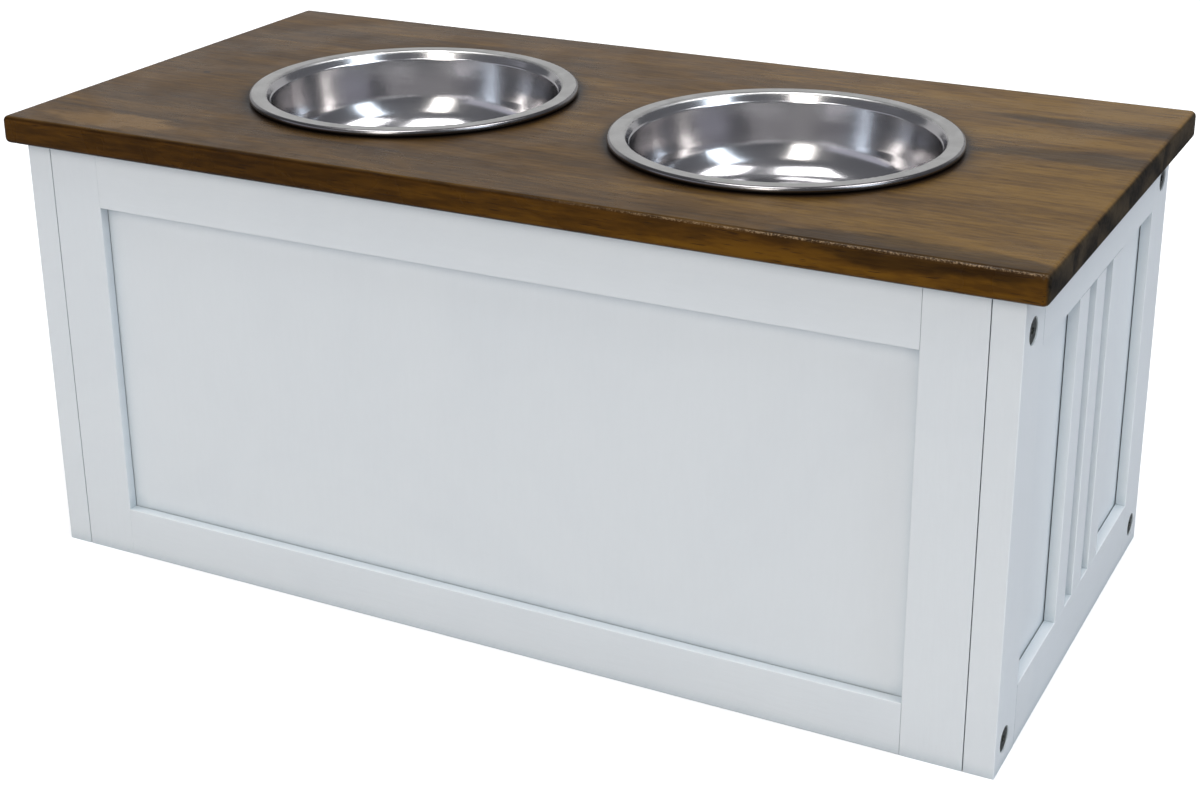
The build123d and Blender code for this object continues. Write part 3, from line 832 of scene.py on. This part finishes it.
def plywood():
    """Thin plywood: pale face layers and a striped edge."""
    material, tree, shader = new_material("birch_plywood")
    low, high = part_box("floor_panel")
    place = turned_place(tree, "x", low)
    crossed = turned_place(tree, "y", low)
    height = parts_of(tree, place)["Z"]
    layer = maths(tree, "FLOOR", maths(tree, "DIVIDE", height, (high.z - low.z) / ply_layers))
    odd = maths(tree, "MODULO", layer, 2.0)
    sizes = {"Stave Width": 0.35, "Ring Spacing": 0.012, "Ring Wander": 0.02}
    face = use_effect(tree, board_grain, {"Place": place, "Seed": 5.0, **sizes})
    core = use_effect(tree, board_grain, {"Place": crossed, "Seed": 6.0, **sizes})
    face_tone = weighted(tree, face, {"Rings": 0.5, "Streaks": 0.5})
    face_colour = mix_colours(tree, face_tone, face_dark, face_light)
    core_colour = mix_colours(tree, weighted(tree, core, {"Streaks": 0.5}), core_dark, core_light)
    marks = use_effect(tree, handling_marks, {"Place": place, "Size": 9.0})
    finish = {
        "Base Color": mix_colours(tree, odd, face_colour, core_colour),
        "Roughness": between(tree, marks["Smudges"], 0.0, 1.0, 0.52, 0.66),
        "Normal": bump(tree, face["Fibres"], 0.00005),
    }
    plug(tree, shader, finish)
    return material


floor_finish = plywood()
print("storage floor:", floor_finish.name, "in", ply_layers, "layers")

# %% [markdown]
# ## Give every node its finish
#
# The CAD names say what each piece is, so a short list of name parts picks the finish, and the
# first that fits counts. Each CAD object keeps its mesh. Only what its material slots hold changes.

# %% Assign the finishes
finish_by_name = [
    ("lid_board", lid_finish),
    ("bowl_left", bowl_finishes["bowl_left"]),
    ("bowl_right", bowl_finishes["bowl_right"]),
    ("side_bolts", bolt_finish),
    ("barrel_nuts", zinc_finish),
    ("screws", zinc_finish),
    ("hinge", zinc_finish),
    ("dowels", beech),
    ("floor_panel", floor_finish),
    ("floor_cleat_front", pine_long),
    ("floor_cleat_back", pine_long),
    ("floor_cleat", pine_deep),
    ("panel", paint_panel),
    ("stile", paint_upright),
    ("slat", paint_upright),
    ("left_bottom_rail", paint_deep),
    ("left_top_rail", paint_deep),
    ("right_bottom_rail", paint_deep),
    ("right_top_rail", paint_deep),
    ("rail", paint_long),
]
for name, piece in nodes.items():
    finish = next(finish for part, finish in finish_by_name if part in name)
    for slot in piece.material_slots:
        slot.material = finish
print("finished nodes:", len(nodes))

# %% [markdown]
# ## A pale studio floor
#
# The feeder stands on a plain white floor under soft light. If the floor threw up as much light
# as it seems to, it would wash out the steel and the paint, and a studio lays grey and dark cards
# round an object against that, just out of view. The Light Path node does the same here: light
# that bounces meets a grey floor, and gloss mirrors a dark one. What the camera sees stays white
# and glows a little, like a table lit from below. That glow doesn't light the feeder, so it is
# left out of the lamps that are sampled.

# %% Floor
floor_reach = 30.0
floor_white = (0.90, 0.90, 0.90)
floor_smudged = (0.88, 0.88, 0.885)
floor_to_bounced_light = (0.60, 0.60, 0.61)
floor_to_reflections = (0.22, 0.22, 0.24)
no_light = (0.0, 0.0, 0.0)
full_white = (1.0, 1.0, 1.0)

floor_mesh = bpy.data.meshes.new("studio_floor")
corners = [(sx * floor_reach, sy * floor_reach, 0.0) for sx, sy in ((-1, -1), (1, -1), (1, 1), (-1, 1))]
floor_mesh.from_pydata(corners, [], [(0, 1, 2, 3)])
studio_floor = bpy.data.objects.new("studio_floor", floor_mesh)
bpy.context.scene.collection.objects.link(studio_floor)
floor_material, floor_tree, floor_shader = new_material("studio_floor")
floor_marks = use_effect(floor_tree, handling_marks, {"Place": object_place(floor_tree), "Size": 1.5})
floor_colour = mix_colours(floor_tree, floor_marks["Smudges"], floor_white, floor_smudged)
ray = add_node(floor_tree, "ShaderNodeLightPath").outputs
floor_colour = mix_colours(floor_tree, ray["Is Diffuse Ray"], floor_colour, floor_to_bounced_light)
floor_colour = mix_colours(floor_tree, ray["Is Glossy Ray"], floor_colour, floor_to_reflections)
floor_look = {
    "Base Color": floor_colour,
    "Roughness": 0.9,
    "Emission Color": mix_colours(floor_tree, ray["Is Camera Ray"], no_light, full_white),
    "Emission Strength": 0.22,
}
plug(floor_tree, floor_shader, floor_look)
floor_material.cycles.emission_sampling = "NONE"
floor_mesh.materials.append(floor_material)
studio_floor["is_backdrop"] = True
print("floor reaches", floor_reach, "m each way")

# %% [markdown]
# ## Softboxes on the sky
#
# Lamps close to the object would make the floor fade with distance. Here the softboxes are bright
# rectangles painted on the sky, far away, so the floor has one even tone and the polished bowls
# have clear shapes to reflect. The sky between them is a cool grey. Two tall boxes light the
# front and the right side, two small ones overhead put the bright spots in the bowls, a dim one
# fills in from the left, and the broad dim glow behind the feeder is what the satin lid mirrors.


# %% Effect: softbox
def make_softbox_mask():
    """1 inside a far rectangle on the sky, seen along a direction, with soft borders."""
    tree, given, made = effect_group(
        "softbox",
        [
            ("Direction", VECTOR, None),
            ("Centre", VECTOR, None),
            ("Across", VECTOR, None),
            ("Up", VECTOR, None),
            ("Half Width", NUMBER, 0.2),
            ("Half Height", NUMBER, 0.2),
            ("Soft Border", NUMBER, 0.04),
        ],
        ["Mask"],
    )
    ahead = vectors(tree, "DOT_PRODUCT", given["Direction"], given["Centre"])
    mask = maths(tree, "GREATER_THAN", ahead, 0.0)
    for axis, half in (("Across", "Half Width"), ("Up", "Half Height")):
        side = vectors(tree, "DOT_PRODUCT", given["Direction"], given[axis])
        tangent = maths(tree, "ABSOLUTE", maths(tree, "DIVIDE", side, ahead))
        inner = maths(tree, "SUBTRACT", given[half], given["Soft Border"])
        outer = maths(tree, "ADD", given[half], given["Soft Border"])
        mask = maths(tree, "MULTIPLY", mask, between(tree, tangent, outer, inner))
    plug(tree, made, {"Mask": mask})
    return tree


softbox_mask = make_softbox_mask()

# %% Sky and softboxes
# Each softbox: name, degrees round from the camera (positive to its right), degrees up,
# half width and half height in degrees, brightness and colour
softboxes = [
    ("top_left", -95.0, 80.0, 12.0, 11.0, 9.0, (1.0, 1.0, 1.0)),
    ("top_right", 85.0, 62.0, 11.0, 10.0, 8.0, (0.98, 0.98, 1.0)),
    ("key_left", -20.0, 33.0, 7.0, 20.0, 6.6, (1.02, 0.99, 0.93)),
    ("key_right", 52.0, 33.0, 8.0, 20.0, 4.0, (0.80, 0.92, 1.03)),
    ("side_glow", -70.0, 16.0, 28.0, 9.0, 0.55, (0.86, 0.87, 1.0)),
    ("back_glow", 180.0, 18.0, 48.0, 16.0, 0.42, (1.0, 0.99, 0.98)),
]
soft_border = 0.03

# The sky's own grey, from the horizon to straight up
sky_greys = [
    (0.00, (0.13, 0.14, 0.15)),
    (0.30, (0.15, 0.155, 0.17)),
    (0.70, (0.17, 0.175, 0.19)),
    (1.00, (0.18, 0.185, 0.20)),
]
camera_place = Vector((0.5173, -0.9985, 0.5819))
camera_bearing = math.atan2(camera_place.y, camera_place.x)


def softbox_frame(around, up):
    """The direction to a softbox, and its sideways and upward directions."""
    bearing = camera_bearing + math.radians(around)
    rise = math.radians(up)
    level = Vector((math.cos(bearing), math.sin(bearing), 0.0))
    centre = level * math.cos(rise) + Vector((0.0, 0.0, math.sin(rise)))
    across = Vector((-level.y, level.x, 0.0))
    return {"Centre": centre, "Across": across, "Up": centre.cross(across)}


world = bpy.data.worlds.new("pale_studio")
bpy.context.scene.world = world
world.use_nodes = True
sky = world.node_tree
sky.nodes.clear()
direction = add_node(sky, "ShaderNodeTexCoord").outputs["Generated"]
sky_colour = colour_ramp(sky, parts_of(sky, direction)["Z"], sky_greys)
for name, around, up, half_wide, half_high, brightness, tint in softboxes:
    box = {
        "Direction": direction,
        **softbox_frame(around, up),
        "Half Width": math.tan(math.radians(half_wide)),
        "Half Height": math.tan(math.radians(half_high)),
        "Soft Border": soft_border,
    }
    box_mask = use_effect(sky, softbox_mask, box)["Mask"]
    lit = mix_colours(sky, box_mask, no_light, tuple(brightness * part for part in tint))
    sky_colour = mix_colours(sky, 1.0, sky_colour, lit, "ADD")
    print("softbox", name, "bearing", around, "up", up, "brightness", brightness)

# %% Plain white behind the feeder
seen_by_camera = add_node(sky, "ShaderNodeLightPath").outputs["Is Camera Ray"]
sky_colour = mix_colours(sky, seen_by_camera, sky_colour, full_white)
background = add_node(sky, "ShaderNodeBackground", {"Color": sky_colour, "Strength": 1.0})
add_node(sky, "ShaderNodeOutputWorld", {"Surface": background.outputs[0]})
bpy.context.scene.view_settings.view_transform = "Standard"
print("backdrop", full_white, "view", bpy.context.scene.view_settings.view_transform)

# %% [markdown]
# ## The camera
#
# The view is from the front right, a little above the lid, with a long lens so that the box keeps
# its proportions. It could look straight at the middle of the box. A small downward shift of the
# lens puts the feeder where it belongs in the frame without tilting the uprights any further.

# %% Camera
camera_turn = math.radians(27.34)
camera_tilt = math.radians(-20.78)
camera_roll = math.radians(-0.480)
lens_length = 61.2
lens_shift = -0.085
farthest_seen = 200.0

camera_data = bpy.data.cameras.new("camera")
camera_data.sensor_fit = "HORIZONTAL"
camera_data.sensor_width = 36.0
camera_data.lens = lens_length
camera_data.shift_y = lens_shift
camera_data.clip_end = farthest_seen
camera = bpy.data.objects.new("camera", camera_data)
bpy.context.scene.collection.objects.link(camera)
aim = Euler((math.pi / 2 + camera_tilt, 0.0, camera_turn)).to_matrix()
aim = aim @ Matrix.Rotation(camera_roll, 3, "Z")
camera.matrix_world = Matrix.LocRotScale(camera_place, aim, None)
bpy.context.scene.camera = camera
print("camera at", [round(part, 3) for part in camera_place], "lens", lens_length)

# %% [markdown]
# ## Keep the sizes and close
#
# The finishes must not change the size of the feeder. The box of the CAD model and the box of what
# is shown are compared, and the largest growth is printed, so that any growth would be seen.

# %% Compare both boxes
seen_low, seen_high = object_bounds()
growth = max(*(seen_high - cad_high), *(cad_low - seen_low))
print("largest growth in mm:", round(1000 * growth, 3))
